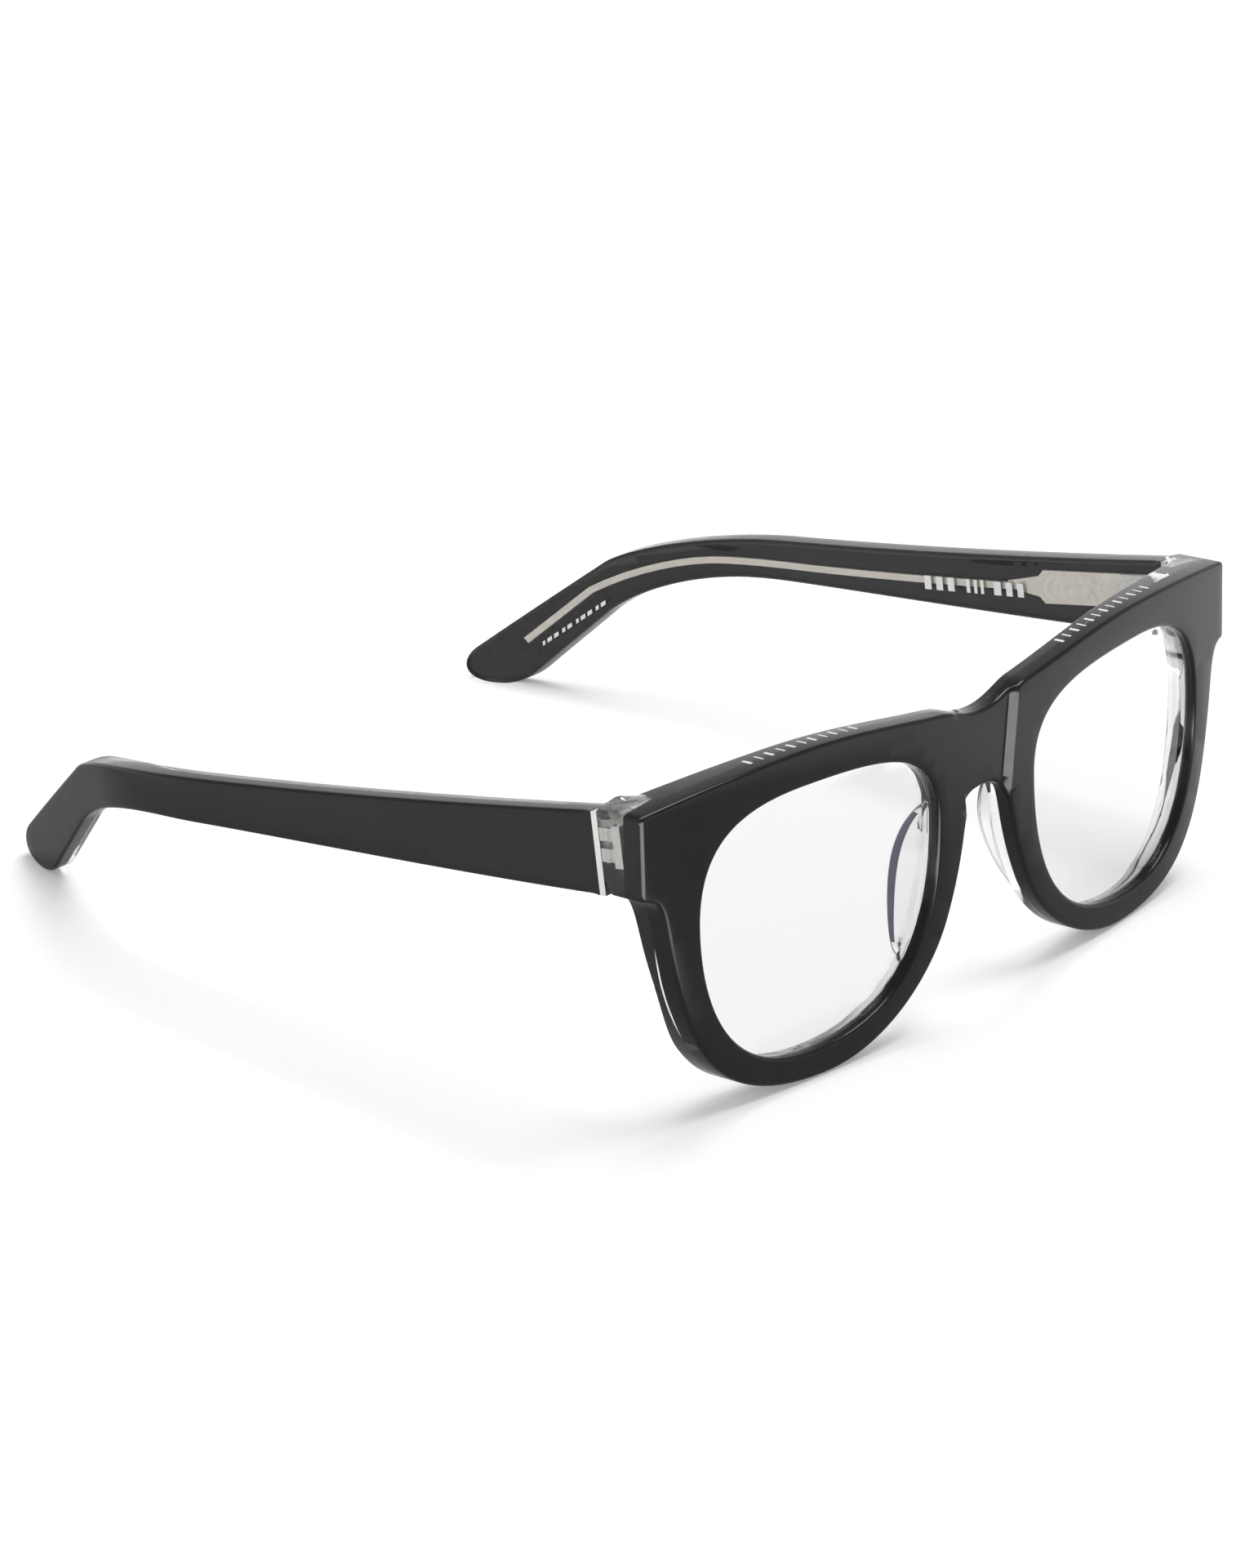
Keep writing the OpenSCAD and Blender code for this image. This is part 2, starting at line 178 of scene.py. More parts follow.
def front_outline():
    rim_low = LENS_MID - LENS_H / 2 - RIM_BOTTOM
    rim_high = LENS_MID + LENS_H / 2 + RIM_TOP
    corner = 0.7
    brow = np.array([9.9, BRIDGE_TOP + 2.2])
    crest = np.array([LENS_X + 0.17 * LENS_W / 2, rim_high])
    shoulder = np.array([END_X - corner, END_TOP])
    armpit = np.array([END_X - corner, END_LOW])
    flank = np.array([SIDE_X - 0.4, LENS_MID + 0.65])
    low = np.array([LENS_X + 0.5, rim_low])
    cheek = np.array([LENS_GAP / 2 - 1.75, rim_low / 2 + 2.5])
    under = np.array([0, BRIDGE_LOW])
    out_x = np.array([END_X, 0])
    bend = corner * 0.55
    half = (
        bezier([[0, BRIDGE_TOP], [4.5, BRIDGE_TOP], brow - [3, 0.4], brow])
        + bezier([brow, brow + [8.5, 1], crest - [11, 0], crest])
        + bezier([crest, crest + [10, 0], shoulder + [-9, 1.1], shoulder])
        + bezier([shoulder, shoulder + [bend, -0.05], out_x + [0, END_TOP - corner + bend],
                  out_x + [0, END_TOP - corner]], 6)
        + bezier([out_x + [0, END_LOW + corner], out_x + [0, END_LOW + corner - bend],
                  armpit + [bend, 0], armpit], 6)
        + bezier([armpit, armpit - [3.4, 0.2], flank + [1.25, 5.9], flank])
        + bezier([flank, flank - [3.1, 14.6], low + [21, 0], low])
        + bezier([low, low - [12.3, 0], cheek + [3.75, -7.3], cheek])
        + bezier([cheek, cheek + [-6.7, 13.2], under + [7.5, 0], under])
        + [under]
    )
    other = [p * [-1, 1] for p in half[-2:0:-1]]
    return resample(half + other)


def temple_side():
    loop = (
        bezier([[PLATE_T, TEMPLE_UP], [22, TEMPLE_UP - 1.1], [48, 3.8], [75, 3.85]])
        + bezier([[75, 3.85], [87, 3.95], [101, 3.4], [107, 0.6]])
        + bezier([[107, 0.6], [114.4, -3.9], [121.9, -8.5], [129.3, -13.2]])
        + bezier([[129.3, -13.2], [132.6, -15.3], [132.2, -19.2], [126, -19.6]])
        + bezier([[126, -19.6], [123.2, -19.8], [121.4, -18.8], [119.8, -17.5]])
        + bezier([[119.8, -17.5], [115.6, -14.2], [111.6, -11.2], [107.5, -8]])
        + bezier([[107.5, -8], [102.5, -4.6], [95, -2.6], [84, -2.6]])
        + bezier([[84, -2.6], [70, -2.8], [32, 0.7 - TEMPLE_DOWN], [PLATE_T, -TEMPLE_DOWN]])
        + [np.array([PLATE_T, -TEMPLE_DOWN])]
    )
    return resample(loop)


# ---- surfaces of the front ----
def arc_y(start, radius, x):
    """Depth of a shallow cylinder whose front-most line is at y = start."""
    return start + radius - math.sqrt(radius ** 2 - x * x)


def smooth(t):
    t = min(max(t, 0.0), 1.0)
    return t * t * (3 - 2 * t)


def crease_x(z):
    """Half-width of the bridge's sunk face at height z."""
    return 6 + (z - 12.7) * math.tan(math.radians(8.2))


def face_y(x, z):
    """The front face, sunk at the bridge behind two slanted creases with 45 degree walls."""
    sunk = min(max(crease_x(z) + BRIDGE_SINK / 2 - abs(x), 0.0), BRIDGE_SINK)
    return arc_y(0, FACE_R, x) + sunk


def seam_y(x, z):
    return arc_y(BLACK_T, SEAM_R, x)


def back_y(x, z):
    """The back face: a shallow cylinder that steps up to the butt joint at the end pieces."""
    drop = math.radians(TEMPLE_DROP)
    butt = BUTT_Y + ((z - BUTT_Z) * math.sin(drop) - 0.05) / math.cos(drop)
    step_from, step_width = 64.6, 1.2
    share = smooth((abs(x) - step_from) / step_width)
    return min(arc_y(FRONT_T, BACK_R, x) * (1 - share) + butt * share, butt)


# ---- sheets with rounded edges ----
def inward(loop):
    """Unit normals on the left of a closed loop."""
    t = np.roll(loop, -1, 0) - np.roll(loop, 1, 0)
    t /= np.hypot(*t.T)[:, None]
    return np.c_[-t[:, 1], t[:, 0]]


def inside(points, loops):
    """True where a point lies within the outer loop and outside the holes."""
    hit = np.zeros(len(points), bool)
    for loop in loops:
        a, b = loop, np.roll(loop, -1, 0)
        for p, q in zip(a, b):
            cross = (p[1] > points[:, 1]) != (q[1] > points[:, 1])
            if cross.any():
                at = p[0] + (points[:, 1] - p[1]) / (q[1] - p[1] + 1e-12) * (q[0] - p[0])
                hit ^= cross & (points[:, 0] < at)
    return hit


def rounded_rim(add, loop, depth_of, radius_of, sign, turns=5):
    """Rings of points that round one rim, from the sheet's near side to its far side, and the
    rim on which the cap starts: its points and their numbers. sign is 1 near and -1 far."""
    normal = inward(loop)
    radii = np.array([radius_of(u, v) for u, v in loop])
    steps = [0] if radii.max() < 1e-6 else list(range(turns + 1))
    if sign > 0:
        steps.reverse()
    rings, rim = [], None
    for k in steps:
        angle = k / turns * math.pi / 2
        at = loop + normal * (radii * (1 - math.cos(angle)))[:, None]
        rings.append([
            add(u, v, depth_of(u, v) + sign * r * (1 - math.sin(angle)) * (r > 0))
            for (u, v), r in zip(at, radii)
        ])
        if k == max(steps):
            rim = (at, rings[-1])
    return rings, rim


def bands(rings):
    """Four-sided faces between each ring of point numbers and the next."""
    width = len(rings[0])
    return [
        (a[i], a[(i + 1) % width], b[(i + 1) % width], b[i])
        for a, b in zip(rings, rings[1:])
        for i in range(width)
    ]


def cap_faces(add, depth_of, rims, extra, grid):
    """Faces that fill a cap between its rims, through a loose grid and the extra points."""
    clearance = 0.3
    loops = [at for at, _ in rims]
    ids = [i for _, ring in rims for i in ring]
    corners = np.vstack(loops)
    edges, start = [], 0
    for loop in loops:
        n = len(loop)
        edges += [(start + i, start + (i + 1) % n) for i in range(n)]
        start += n
    low, high = corners.min(0), corners.max(0)
    spots = np.array([
        (u, v)
        for u in np.arange(low[0], high[0], grid)
        for v in np.arange(low[1], high[1], grid)
    ])
    if len(extra):
        spots = np.vstack([spots, np.array(extra)])
    spots = spots[inside(spots, loops)]
    gap = np.array([np.hypot(*(corners - p).T).min() for p in spots])
    spots = spots[gap > clearance]
    ids = ids + [add(u, v, depth_of(u, v)) for u, v in spots]
    flat = [Vector(p) for p in np.vstack([corners, spots])]
    out = delaunay_2d_cdt(flat, edges, [], 0, 1e-7)
    out_verts, out_faces, source = out[0], out[2], out[3]
    middles = np.array([np.mean([out_verts[i] for i in f], axis=0) for f in out_faces])
    return [
        tuple(ids[source[i][0]] for i in f)
        for f, kept in zip(out_faces, inside(middles, loops))
        if kept
    ]


def sheet(name, outer, holes, near, far, place, round_near, round_far, extra=(), grid=2.5):
    """A solid sheet between depths near(u, v) and far(u, v), its rims rounded by the radii that
    round_near(u, v) and round_far(u, v) give. place(u, v, depth) sets a point in the row frame."""
    verts, faces, near_rims, far_rims = [], [], [], []

    def add(u, v, depth):
        verts.append(tuple(place(u, v, depth)))
        return len(verts) - 1

    for loop in [turned(outer)] + [turned(h, False) for h in holes]:
        near_rings, near_rim = rounded_rim(add, loop, near, round_near, 1)
        far_rings, far_rim = rounded_rim(add, loop, far, round_far, -1)
        faces += bands(near_rings + far_rings)
        near_rims.append(near_rim)
        far_rims.append(far_rim)
    faces += [face[::-1] for face in cap_faces(add, near, near_rims, extra, grid)]
    faces += cap_faces(add, far, far_rims, extra, grid)
    return solid(name, verts, faces)


def solid(name, verts, faces, sharp=32):
    mesh = bpy.data.meshes.new(name)
    mesh.from_pydata([tuple(v) for v in verts], [], faces)
    work = bmesh.new()
    work.from_mesh(mesh)
    bmesh.ops.remove_doubles(work, verts=work.verts, dist=1e-7)
    bmesh.ops.dissolve_degenerate(work, edges=work.edges, dist=1e-8)
    bmesh.ops.recalc_face_normals(work, faces=work.faces)
    work.to_mesh(mesh)
    work.free()
    mesh.shade_smooth()
    mesh.set_sharp_from_angle(angle=math.radians(sharp))
    obj = bpy.data.objects.new(name, mesh)
    bpy.context.scene.collection.objects.link(obj)
    return obj


# ---- materials ----
def nodes_of(name):
    m = bpy.data.materials.new(name)
    m.use_nodes = True
    tree = m.node_tree
    return m, tree, tree.nodes["Principled BSDF"]


def noise(tree, scale, detail=4.0, rough=0.55):
    coord = tree.nodes.new("ShaderNodeTexCoord")
    n = tree.nodes.new("ShaderNodeTexNoise")
    n.inputs["Scale"].default_value = scale
    n.inputs["Detail"].default_value = detail
    n.inputs["Roughness"].default_value = rough
    tree.links.new(coord.outputs["Object"], n.inputs["Vector"])
    return n.outputs["Fac"]


def mapped(tree, value, low, high, to_low, to_high):
    """The value carried from low..high onto to_low..to_high, and held at both ends."""
    r = tree.nodes.new("ShaderNodeMapRange")
    r.inputs["From Min"].default_value = low
    r.inputs["From Max"].default_value = high
    r.inputs["To Min"].default_value = to_low
    r.inputs["To Max"].default_value = to_high
    tree.links.new(value, r.inputs["Value"])
    return r.outputs["Result"]


def ramp(tree, fac, low, high):
    """The middle of a noise's spread carried onto low..high."""
    return mapped(tree, fac, 0.3, 0.7, low, high)


def bump(tree, shader, fac, strength, distance):
    b = tree.nodes.new("ShaderNodeBump")
    b.inputs["Strength"].default_value = strength
    b.inputs["Distance"].default_value = distance
    tree.links.new(fac, b.inputs["Height"])
    tree.links.new(b.outputs["Normal"], shader.inputs["Normal"])


def mix_colour(tree, fac, a, b):
    m = tree.nodes.new("ShaderNodeMix")
    m.data_type = "RGBA"
    m.inputs["A"].default_value = (*a, 1)
    m.inputs["B"].default_value = (*b, 1)
    tree.links.new(fac, m.inputs["Factor"])
    return m.outputs["Result"]


def black_acetate():
    m, tree, s = nodes_of("black_acetate")
    tree.links.new(mix_colour(tree, noise(tree, 90), (0.006, 0.006, 0.007), (0.014, 0.013, 0.015)),
                   s.inputs["Base Color"])
    tree.links.new(ramp(tree, noise(tree, 400), 0.12, 0.2), s.inputs["Roughness"])
    s.inputs["IOR"].default_value = 1.48
    s.inputs["Specular IOR Level"].default_value = 0.3
    bump(tree, s, noise(tree, 60, 2), 0.05, 0.0004)
    return m


def clear_plastic(name, tint, roughness, shade, ior):
    """A refracting solid that still lets light through to its shadow."""
    m, tree, s = nodes_of(name)
    s.inputs["Base Color"].default_value = (*tint, 1)
    s.inputs["Transmission Weight"].default_value = 1
    s.inputs["IOR"].default_value = ior
    tree.links.new(ramp(tree, noise(tree, 300), roughness * 0.7, roughness * 1.3),
                   s.inputs["Roughness"])
    out = tree.nodes["Material Output"]
    path = tree.nodes.new("ShaderNodeLightPath")
    see = tree.nodes.new("ShaderNodeBsdfTransparent")
    see.inputs["Color"].default_value = (*shade, 1)
    mix = tree.nodes.new("ShaderNodeMixShader")
    tree.links.new(path.outputs["Is Shadow Ray"], mix.inputs[0])
    tree.links.new(s.outputs[0], mix.inputs[1])
    tree.links.new(see.outputs[0], mix.inputs[2])
    tree.links.new(mix.outputs[0], out.inputs["Surface"])
    return m


def metal(name, colour, roughness, grain, depth):
    m, tree, s = nodes_of(name)
    darker = tuple(c * 0.8 for c in colour)
    tree.links.new(mix_colour(tree, noise(tree, grain), darker, colour), s.inputs["Base Color"])
    s.inputs["Metallic"].default_value = 1
    tree.links.new(ramp(tree, noise(tree, grain * 0.5), roughness * 0.8, roughness * 1.2),
                   s.inputs["Roughness"])
    bump(tree, s, noise(tree, grain), 0.4, depth)
    return m


def ink():
    m, tree, s = nodes_of("white_ink")
    tree.links.new(mix_colour(tree, noise(tree, 900), (0.72, 0.72, 0.72), (0.92, 0.92, 0.92)),
                   s.inputs["Base Color"])
    s.inputs["Roughness"].default_value = 0.5
    return m


def one_sided(material, colour, roughness, from_inside):
    """Coats one side of a clear plastic face with a solid colour. With from_inside it coats the
    inside: painted shade on the walls of the lens openings, where the ground lens groove sits, so
    the clear rim looks dark through them. Otherwise it coats the outside: a painted violet glint of
    light caught in a pad's ridge."""
    tree = material.node_tree
    out = tree.nodes["Material Output"]
    clear = out.inputs["Surface"].links[0].from_socket
    coat = tree.nodes.new("ShaderNodeBsdfPrincipled")
    darker = tuple(c * 0.7 for c in colour)
    tree.links.new(mix_colour(tree, noise(tree, 200), darker, colour), coat.inputs["Base Color"])
    coat.inputs["Roughness"].default_value = roughness
    coat.inputs["Specular IOR Level"].default_value = 0.12
    geometry = tree.nodes.new("ShaderNodeNewGeometry")
    mix = tree.nodes.new("ShaderNodeMixShader")
    tree.links.new(geometry.outputs["Backfacing"], mix.inputs[0])
    tree.links.new(clear, mix.inputs[1 if from_inside else 2])
    tree.links.new(coat.outputs[0], mix.inputs[2 if from_inside else 1])
    tree.links.new(mix.outputs[0], out.inputs["Surface"])
    return material


BLACK = black_acetate()
CLEAR_LOOK = ((0.9, 0.905, 0.91), 0.02, (0.8, 0.81, 0.82), 1.48)
CRYSTAL = clear_plastic("crystal_acetate", *CLEAR_LOOK)
LENS = clear_plastic("lens", (0.85, 0.855, 0.85), 0.004, (0.95, 0.955, 0.95), 1.5)
# Painted shade: a near-black coat, seen from inside the crystal, on the walls of the lens openings.
GROOVE_PAINTED_SHADE = one_sided(clear_plastic("lens_groove_painted_shade", *CLEAR_LOOK), (0.03, 0.03, 0.032), 0.6, True)
# Painted glint: a violet coat on the outside of the pads' ridges, for light caught there.
PAD_PAINTED_GLINT = one_sided(clear_plastic("pad_painted_glint", *CLEAR_LOOK), (0.045, 0.034, 0.125), 0.12, False)
HINGE_METAL = metal("hinge_metal", (0.56, 0.55, 0.53), 0.26, 1500, 0.00002)
PLATE_METAL = metal("plate_metal", (0.78, 0.77, 0.75), 0.24, 1500, 0.00002)
CORE_METAL = metal("core_metal", (0.76, 0.72, 0.65), 0.42, 2500, 0.00006)
SCREW_STEEL = metal("screw_steel", (0.82, 0.82, 0.82), 0.15, 1800, 0.00001)
INK = ink()


def finish_piece(obj, body, material, slot, *nodes):
    obj.data.materials.append(material)
    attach(obj, body)
    if nodes:
        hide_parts(*nodes)
    return obj


# ---- front ----
def no_edge(u, v):
    return 0.0


def near_end(x):
    """1 on the rims, falling to 0 at the end pieces' butt joint."""
    fall_from, fall_width = 63.0, 2.5
    return 1 - smooth((abs(x) - fall_from) / fall_width)


def thinned_back_y(x, z):
    """The back face, milled thinner on the rims' outer flanks below the end pieces."""
    cut_from, cut_width = 59.5, 5.0
    cut_top, cut_fade = 13.0, 4.0
    flank = smooth((abs(x) - cut_from) / cut_width) * smooth((cut_top - z) / cut_fade)
    return back_y(x, z) - FLANK_CUT * flank


def on_opening_wall(at, normal):
    """True for a face of the front that lines one of the two lens openings."""
    centre = Vector(front_place(math.copysign(LENS_X, at.x), 0, LENS_MID)) / MM
    spare_in, spare_out = 0.8, 0.7
    beside_lens = LENS_X - LENS_W / 2 - spare_in < abs(at.x) < LENS_X + LENS_W / 2 + spare_out
    upright = abs(normal.y) < 0.5
    towards = normal.x * (centre.x - at.x) + normal.z * (centre.z - at.z)
    return beside_lens and upright and towards > 0


def join_pads(crystal, materials):
    """Joins both nose pads to the crystal layer, leaving one solid."""
    pads = [nose_pad(side) for side in (-1, 1)]
    for pad in pads:
        for material in materials:
            pad.data.materials.append(material)
        join = crystal.modifiers.new("join", "BOOLEAN")
        join.operation = "UNION"
        join.solver = "EXACT"
        join.object = pad
    bpy.context.view_layer.update()
    joined = crystal.evaluated_get(bpy.context.evaluated_depsgraph_get())
    merged = bpy.data.meshes.new_from_object(joined)
    crystal.modifiers.clear()
    crystal.data = merged
    for pad in pads:
        bpy.data.objects.remove(pad)


def front_pieces():
    outline = front_outline()
    openings = [opening(-1), opening(1)]
    crease_low, crease_high = 6, 22
    crease_points = [
        (side * (crease_x(z) + shift), z)
        for side in (-1, 1)
        for shift in (-BRIDGE_SINK / 2, BRIDGE_SINK / 2)
        for z in np.arange(crease_low, crease_high, STEP)
    ]

    def place(u, v, depth):
        return front_place(u, depth, v)

    black = sheet(
        "front_black_layer_shown", outline, openings, face_y,
        lambda x, z: seam_y(x, z) + BURY, place, lambda u, v: EDGE_FRONT, no_edge, crease_points,
    )
    finish_piece(black, "front", BLACK, "black_acetate", "front_black_layer")
    crystal = sheet(
        "front_crystal_layer_shown", outline, openings, seam_y, thinned_back_y, place,
        no_edge, lambda u, v: EDGE_BUTT + (EDGE_BACK - EDGE_BUTT) * near_end(u),
    )
    layers = [CRYSTAL, PAD_PAINTED_GLINT, GROOVE_PAINTED_SHADE]
    for material in layers:
        crystal.data.materials.append(material)
    # The walls of the lens openings take the coat of painted shade.
    for face in crystal.data.polygons:
        if on_opening_wall(face.center / MM, face.normal):
            face.material_index = layers.index(GROOVE_PAINTED_SHADE)
    join_pads(crystal, [CRYSTAL, PAD_PAINTED_GLINT])
    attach(crystal, "front")
    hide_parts("front_crystal_layer", "right_nose_pad", "left_nose_pad")
    for side, name in ((-1, "right"), (1, "left")):
        lens = sheet(
            f"{name}_lens_shown", opening(side, LENS_GROOVE), [],
            lambda x, z: arc_y(LENS_DEPTH, FACE_R - LENS_DEPTH, x),
            lambda x, z: arc_y(LENS_DEPTH + LENS_T, FACE_R - LENS_DEPTH - LENS_T, x),
            place, lambda u, v: EDGE_LENS, lambda u, v: EDGE_LENS,
        )
        finish_piece(lens, "front", LENS, "lens", f"{name}_lens")


def pad_section(rise):
    """Half-round-topped wedge across a pad, as (outward, backward) points. rise is 0 to 1."""
    turns = 8
    flare = math.radians(PAD_FLARE)
    foot_in, foot_half, sunk = 0.25, 0.5, 0.8
    height = foot_in + PAD_HEIGHT * rise
    half = foot_half + PAD_HALF * rise
    top = height + sunk - half
    middle = (foot_in + top * math.tan(flare) + half, top)
    section = [(foot_in, 0.0), (foot_in + height * 0.5 * math.tan(flare), height * 0.5)]
    for i in range(turns + 1):
        a = math.pi - flare * 0.6 - i / turns * (math.pi - flare)
        section.append((middle[0] + half * math.cos(a), middle[1] + half * math.sin(a)))
    flank = (middle[0] + half + foot_half, 0.0)
    down = min(1.0 / max(section[-1][1], 1.0), 0.5) * rise
    section.append(tuple(a + (b - a) * down for a, b in zip(section[-1], flank)))
    section.append(flank)
    return section, sunk


def nose_pad(side):
    """A fin behind the nose-side edge of the rim: a lofted wedge with a rounded ridge."""
    stations = 30
    foot = [np.array(p) for p in ((7.6, 8.0), (5.2, 1.5), (6.8, -8.0), (15.0, -16.2))]
    verts, rings = [], []
    for k in range(stations + 1):
        t = k / stations
        p, d = bezier_at(foot, t), bezier_slope(foot, t)
        d /= np.hypot(*d)
        out = np.array([-d[1], d[0]])
        section, sunk = pad_section(math.sqrt(max(math.sin(math.pi * t), 0.0)))
        base = back_y(p[0], p[1]) - sunk
        ring = []
        for across, back in section:
            q = p + out * across
            verts.append(tuple(front_place(side * q[0], base + back, q[1])))
            ring.append(len(verts) - 1)
        rings.append(ring)
    ends = [tuple(rings[0][::-1]), tuple(rings[-1])]
    pad = solid(f"pad_{side}", verts, bands(rings) + ends)
    width = len(rings[0])
    # These ridge faces take the painted violet glint.
    lit_columns, plain_ends = range(width - 5, width - 2), 2
    for k, face in enumerate(pad.data.polygons):
        along, around = divmod(k, width)
        if plain_ends <= along < stations - plain_ends and around in lit_columns:
            face.material_index = 1
    return pad


# ---- temples ----
def temple_pieces(side, name):
    body = f"{name}_temple"
    outline = temple_side()

    def place(u, v, w):
        return temple_place(side, u, v, w)

    def soft(radius):
        """The radius, run down almost to nothing where the edge meets the end plate."""
        run_out, least = 1.2, 0.08
        return lambda u, v: radius * min(max((u - PLATE_T) / run_out, least), 1)

    black = sheet(f"{name}_temple_black_layer_shown", outline, [], lambda u, v: 0.0,
                  lambda u, v: TEMPLE_BLACK + BURY, place, soft(EDGE_TEMPLE), no_edge)
    finish_piece(black, body, BLACK, "black_acetate", f"{name}_temple_black_layer")
    crystal = sheet(f"{name}_temple_crystal_layer_shown", outline, [], lambda u, v: TEMPLE_BLACK,
                    lambda u, v: TEMPLE_T, place, no_edge, soft(EDGE_TEMPLE_IN))
    finish_piece(crystal, body, CRYSTAL, "crystal_acetate", f"{name}_temple_crystal_layer")


# ---- printed marks: plain bars, no lettering ----
TILE = ((0, 3, 2, 1), (4, 5, 6, 7), (0, 1, 5, 4), (1, 2, 6, 5), (2, 3, 7, 6), (3, 0, 4, 7))


def bars(name, body, place, starts, widths, low, high):
    """White ink bars. place(along, across, height) sets a point; each bar is a thin closed tile."""
    verts, faces = [], []
    for start, width in zip(starts, widths):
        base = len(verts)
        for height in (-INK_SINK, INK_LIFT):
            for along, across in ((start, low), (start + width, low),
                                  (start + width, high), (start, high)):
                verts.append(tuple(place(along, across, height)))
        for face in TILE:
            faces.append(tuple(base + i for i in face))
    obj = solid(name, verts, faces)
    obj.data.materials.append(INK)
    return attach(obj, body)


def printed_marks():
    """Plain bars where the photograph shows print. None of them is a letter or a number."""
    outline = front_outline()
    top = outline[outline[:, 1] > 15]
    pitch = 2.1
    for side, name, first, count in ((-1, "right", 26.6, 11), (1, "left", 22.2, 13)):
        order = np.argsort(side * top[:, 0])
        across_x, up_z = (side * top[:, 0])[order], top[:, 1][order]

        def place(along, across, height):
            z = float(np.interp(along, across_x, up_z)) + height
            return front_place(side * along, face_y(along, z) + across, z)

        starts = [first + pitch * i for i in range(count)]
        bars(f"{name}_rim_marks", "front", place, starts, [0.55, 0.35] * 7, 2.1, 3.75)

    def inner(along, across, height):
        return temple_place(1, along, across, TEMPLE_T + height)

    bars("left_temple_size_marks", "left_temple", inner,
         [27.8, 30.0, 32.2, 35.6, 36.9, 38.3, 41.4, 43.7, 46.0],
         [1.2, 1.2, 1.4, 0.6, 0.6, 0.7, 1.3, 1.3, 1.3], -1.9, 0.3)

    def tip_face(along, across, height):
        slope, bend_at = 0.62, 106.5
        middle = -0.4 - (along - bend_at) * slope
        return temple_place(1, along, middle + across, TEMPLE_T + height)

    tip_starts = [107.5 + 1.15 * i for i in range(10)]
    bars("left_temple_tip_marks", "left_temple", tip_face, tip_starts,
         [0.75, 0.5, 0.75, 0.75, 0.4] * 2, -5.6, -4.9)


def carried(node, material, bevel):
    """A CAD node shown as it is, with its edges eased by a bevel in mm."""
    sharp = 40.0
    obj = frame["nodes"][node]
    obj.data.materials.clear()
    obj.data.materials.append(material)
    ease = obj.modifiers.new("ease", "BEVEL")
    ease.width = bevel * MM
    ease.segments = 2
    ease.limit_method = "ANGLE"
    ease.angle_limit = math.radians(sharp)
    ease.use_clamp_overlap = True


# ---- stage ----
def studio_sky(tree):
    """White to the camera. In reflections and as light it dims from the horizon upwards."""
    background = tree.nodes["Background"]
    background.inputs["Strength"].default_value = 1.0
    coord = tree.nodes.new("ShaderNodeTexCoord")
    split = tree.nodes.new("ShaderNodeSeparateXYZ")
    tree.links.new(coord.outputs["Generated"], split.inputs[0])
    near_horizon, overhead = 0.95, 0.3
    dim = mapped(tree, split.outputs["Z"], 0.1, 0.75, near_horizon, overhead)
    path = tree.nodes.new("ShaderNodeLightPath")
    pick = tree.nodes.new("ShaderNodeMix")
    pick.data_type = "RGBA"
    tree.links.new(path.outputs["Is Camera Ray"], pick.inputs["Factor"])
    tree.links.new(dim, pick.inputs["A"])
    pick.inputs["B"].default_value = (1, 1, 1, 1)
    tree.links.new(pick.outputs["Result"], background.inputs["Color"])


def reflected_table(tree, shader):
    """The table is evenly pale to the camera. Glossy surfaces see it dimmer straight ahead of the
    glasses and brighter ahead on the wearer's right, as if a softbox lay there."""
    def maths(operation, a, b):
        made = tree.nodes.new("ShaderNodeMath")
        made.operation = operation
        for socket, value in zip(made.inputs, (a, b)):
            if isinstance(value, float):
                socket.default_value = value
            else:
                tree.links.new(value, socket)
        return made.outputs[0]

    coord = tree.nodes.new("ShaderNodeTexCoord")
    split = tree.nodes.new("ShaderNodeSeparateXYZ")
    tree.links.new(coord.outputs["Object"], split.inputs[0])
    x, y = split.outputs["X"], split.outputs["Y"]
    path = tree.nodes.new("ShaderNodeLightPath")
    mask = maths("MULTIPLY", path.outputs["Is Glossy Ray"], path.outputs["Is Reflection Ray"])
    softbox = 9.0
    to_right = mapped(tree, x, -0.03, -0.07, 0.0, softbox)
    to_front = mapped(tree, y, -0.1, -0.15, 0.0, 1.0)
    glow = maths("MULTIPLY", to_right, to_front)
    length = tree.nodes.new("ShaderNodeVectorMath")
    length.operation = "LENGTH"
    tree.links.new(coord.outputs["Object"], length.inputs[0])
    far = mapped(tree, length.outputs["Value"], 0.25, 0.8, 0.2, 0.75)
    strength = maths("ADD", maths("MULTIPLY", glow, mask), far)
    tree.links.new(strength, shader.inputs["Emission Strength"])
    off_middle = maths("ABSOLUTE", maths("ADD", x, 0.02), 0.0)
    dimmed = mapped(tree, off_middle, 0.07, 0.14, 0.36, 1.25)
    share = maths("ADD", maths("MULTIPLY", maths("SUBTRACT", dimmed, 1.0), mask), 1.0)
    shade = tree.nodes.new("ShaderNodeMix")
    shade.data_type = "RGBA"
    shade.inputs["A"].default_value = (0, 0, 0, 1)
    tree.links.new(share, shade.inputs["Factor"])
    tree.links.new(shader.inputs["Base Color"].links[0].from_socket, shade.inputs["B"])
    tree.links.new(shade.outputs["Result"], shader.inputs["Base Color"])


def key_light():
    """One soft square light, high on the wearer's left, turned to face the glasses."""
    spot, width, power = (0.33, 0.02, 1.3), 0.8, 12
    target = (0, 0, 0.02)
    light = bpy.data.lights.new("key", "AREA")
    light.shape = "RECTANGLE"
    light.size, light.size_y = width, width
    light.energy = power
    lamp = bpy.data.objects.new("key", light)
    bpy.context.scene.collection.objects.link(lamp)
    lamp.location = spot
    lamp.rotation_mode = "QUATERNION"
    lamp.rotation_quaternion = (Vector(target) - Vector(spot)).to_track_quat("-Z", "Y")


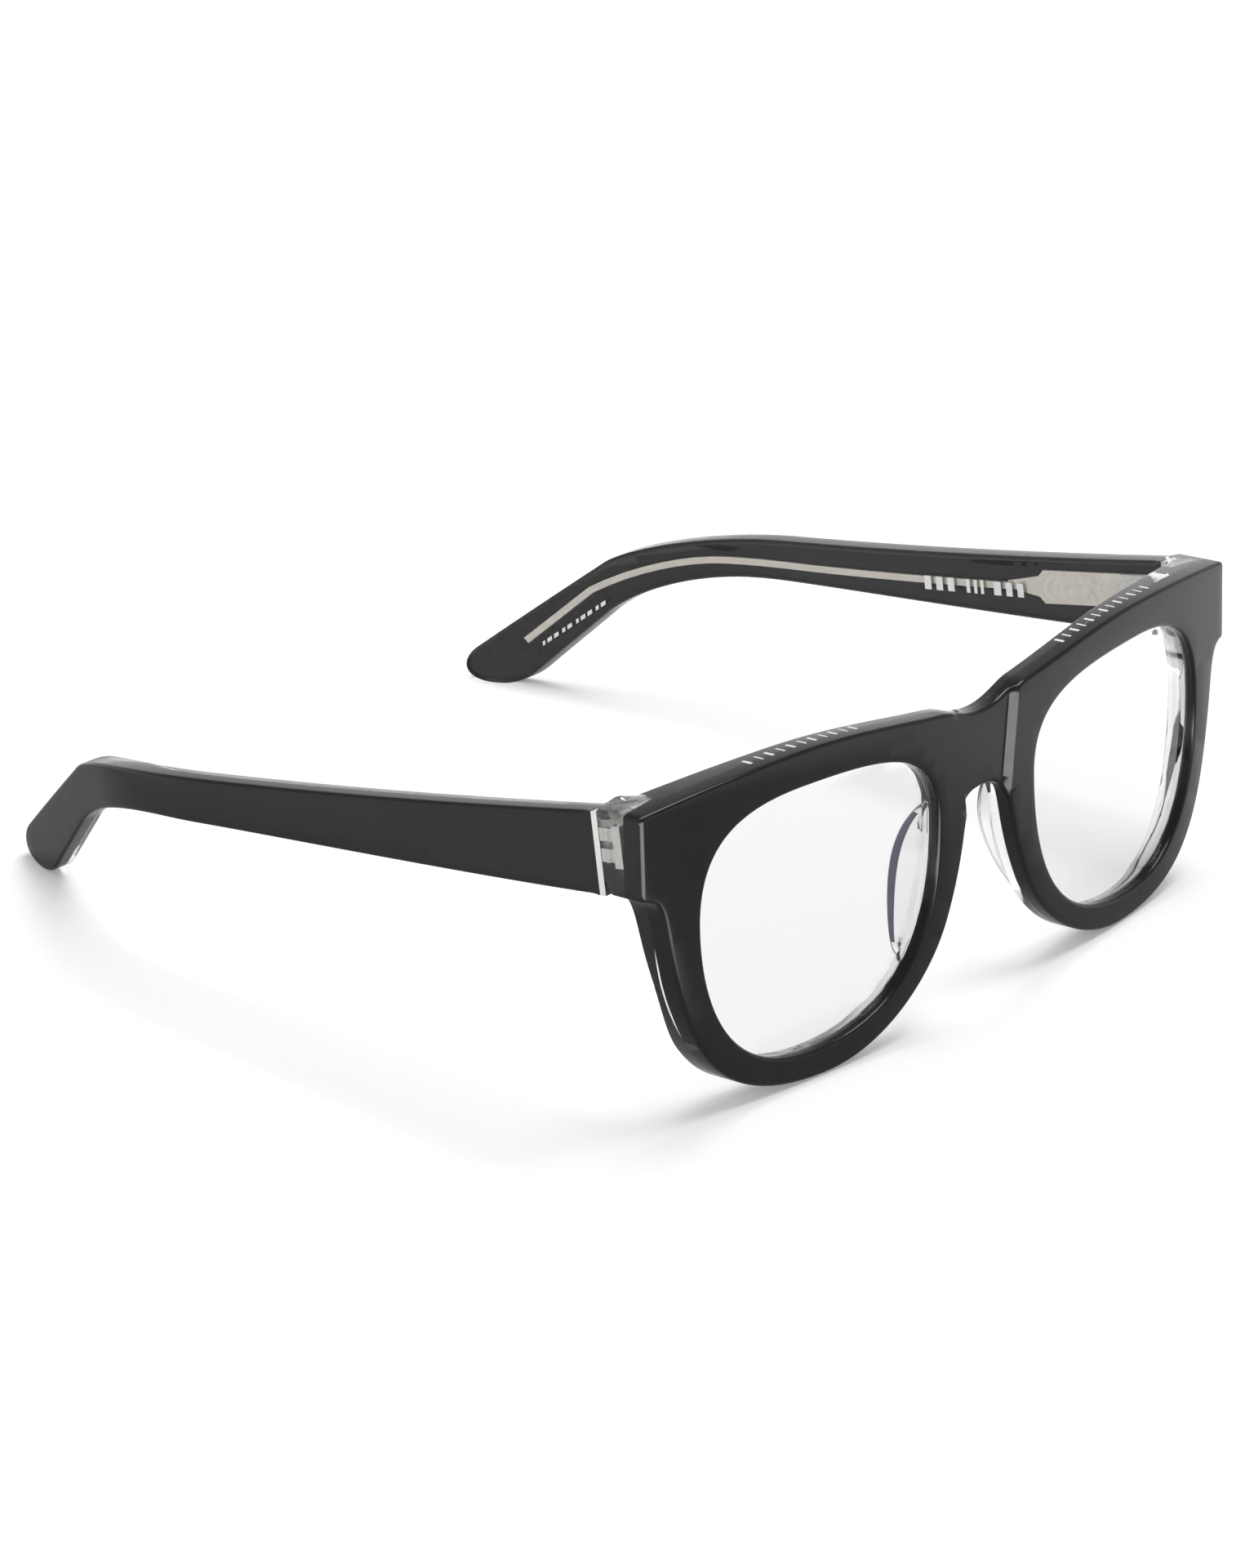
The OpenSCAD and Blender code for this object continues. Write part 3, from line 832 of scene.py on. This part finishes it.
def table_top():
    """A wide flat square under the glasses."""
    material, tree, s = nodes_of("floor")
    tint = mix_colour(tree, noise(tree, 3), (0.93, 0.93, 0.93), (0.95, 0.95, 0.95))
    tree.links.new(tint, s.inputs["Base Color"])
    s.inputs["Roughness"].default_value = 0.9
    s.inputs["Specular IOR Level"].default_value = 0.1
    s.inputs["Emission Color"].default_value = (1, 1, 1, 1)
    reflected_table(tree, s)
    half = 8.0
    corners = [(-half, -half, 0), (half, -half, 0), (half, half, 0), (-half, half, 0)]
    mesh = bpy.data.meshes.new("floor")
    mesh.from_pydata(corners, [], [(0, 1, 2, 3)])
    floor = bpy.data.objects.new("floor", mesh)
    mesh.materials.append(material)
    bpy.context.scene.collection.objects.link(floor)


def stage():
    table_top()
    world = bpy.data.worlds.new("studio")
    bpy.context.scene.world = world
    world.use_nodes = True
    studio_sky(world.node_tree)
    key_light()
    scene = bpy.context.scene
    scene.view_settings.view_transform = "Standard"
    scene.view_settings.look = "None"


def camera():
    """The photograph's viewpoint: angles, distance and aim in the front's own frame."""
    azimuth, elevation, roll = (math.radians(a) for a in (-50.17, 19.51, -1.67))
    distance, shift_right, shift_up = 807.0, 52.0, -7.6
    focal_length, sensor = 129.26, 36
    back = np.array([math.sin(azimuth) * math.cos(elevation),
                     -math.cos(azimuth) * math.cos(elevation), math.sin(elevation)])
    level = np.array([math.cos(azimuth), math.sin(azimuth), 0])
    above = np.cross(back, level)
    right = math.cos(roll) * level + math.sin(roll) * above
    up = -math.sin(roll) * level + math.cos(roll) * above
    eye = back * distance - right * shift_right - up * shift_up
    data = bpy.data.cameras.new("camera")
    data.lens = focal_length
    data.sensor_width = sensor
    data.clip_start, data.clip_end = 0.05, 50
    cam = bpy.data.objects.new("camera", data)
    bpy.context.scene.collection.objects.link(cam)
    axes = [Vector(tilt(a, LEAN)) for a in (right, up, back)]
    turn = Matrix(axes).transposed().to_4x4()
    cam.matrix_world = Matrix.Translation(Vector(front_place(*eye))) @ turn
    bpy.context.scene.camera = cam


METAL_PARTS = (
    ("front_hinge", HINGE_METAL, 0.08),
    ("temple_hinge", HINGE_METAL, 0.08),
    ("temple_end_plate", PLATE_METAL, 0.1),
    ("core_wire", CORE_METAL, 0.12),
    ("hinge_screw", SCREW_STEEL, 0.04),
)

front_pieces()
for side, name in ((-1, "right"), (1, "left")):
    temple_pieces(side, name)
    for part, metal, bevel in METAL_PARTS:
        carried(f"{name}_{part}", metal, bevel)
printed_marks()
stage()
camera()
